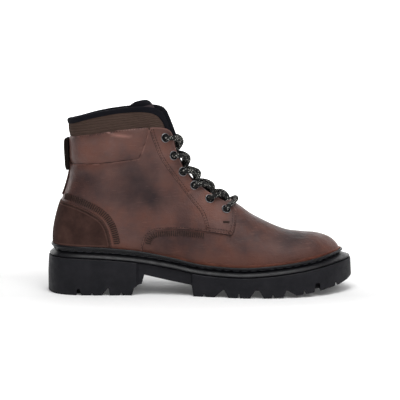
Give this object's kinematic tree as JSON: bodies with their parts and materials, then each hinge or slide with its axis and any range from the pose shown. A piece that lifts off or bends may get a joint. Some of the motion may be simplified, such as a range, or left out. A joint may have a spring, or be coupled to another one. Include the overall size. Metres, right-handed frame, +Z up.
{
  "type": "lace-up ankle boot",
  "caption": "Right-foot lace-up leather ankle boot with padded collar, insulated inner layer, lace through metal eyelets and a lugged rubber sole.",
  "frame": {"origin": "on the floor under the middle of the boot's bounding box, the lace ends left out", "axes": "+X from the heel to the toe, +Y to the inner (medial) side of this right boot, +Z up"},
  "size_m": [0.305, 0.1068, 0.1836],
  "materials": {
    "leather": "semi-matte pull-up",
    "nubuck": "matte, sanded",
    "webbing": "matte",
    "collar_textile": "ribbed, matte",
    "binding_textile": "matte",
    "lining_textile": "matte",
    "stiffener": "matte",
    "insulation": "felted",
    "rubber": "matte",
    "gloss_rubber": "satin",
    "shank_steel": "brushed",
    "filler": "granular",
    "board": "matte",
    "footbed_textile": "matte",
    "lace_cord": "braided, flecked",
    "lace_tip": "glossy",
    "eyelet_metal": "satin gunmetal"
  },
  "bodies": {
    "boot": {"vamp": "leather", "quarter_lateral": "leather", "quarter_medial": "leather", "ankle_panel_lateral": "leather", "ankle_panel_medial": "leather", "eyestay_lateral": "leather", "eyestay_medial": "leather", "eyestay_facing_lateral": "lining_textile", "eyestay_facing_medial": "lining_textile", "heel_counter": "nubuck", "backstay": "nubuck", "pull_loop": "webbing", "collar_panel": "collar_textile", "collar_roll": "binding_textile", "toe_puff": "stiffener", "heel_stiffener": "stiffener", "insulation": "insulation", "lining": "lining_textile", "tongue_lower": "leather", "outsole": "rubber", "midsole": "gloss_rubber", "welt": "gloss_rubber", "shank": "shank_steel", "bottom_filler": "filler", "insole_board": "board", "footbed": "footbed_textile", "lace": "lace_cord", "lace_tail_lateral": "lace_cord", "lace_tail_medial": "lace_cord", "aglet_lateral": "lace_tip", "aglet_medial": "lace_tip", "eyelet_lateral_1": "eyelet_metal", "eyelet_lateral_2": "eyelet_metal", "eyelet_lateral_3": "eyelet_metal", "eyelet_lateral_4": "eyelet_metal", "eyelet_lateral_5": "eyelet_metal", "eyelet_lateral_6": "eyelet_metal", "eyelet_medial_1": "eyelet_metal", "eyelet_medial_2": "eyelet_metal", "eyelet_medial_3": "eyelet_metal", "eyelet_medial_4": "eyelet_metal", "eyelet_medial_5": "eyelet_metal", "eyelet_medial_6": "eyelet_metal"},
    "tongue": {"tongue_top": "binding_textile"}
  },
  "joints": [
    {"name": "tongue_flex", "type": "hinge", "parent": "boot", "child": "tongue", "pos_m": [-0.033, -0.0015, 0.153], "axis": [0, 1, 0], "range_deg": [-10, 30]}
  ]
}
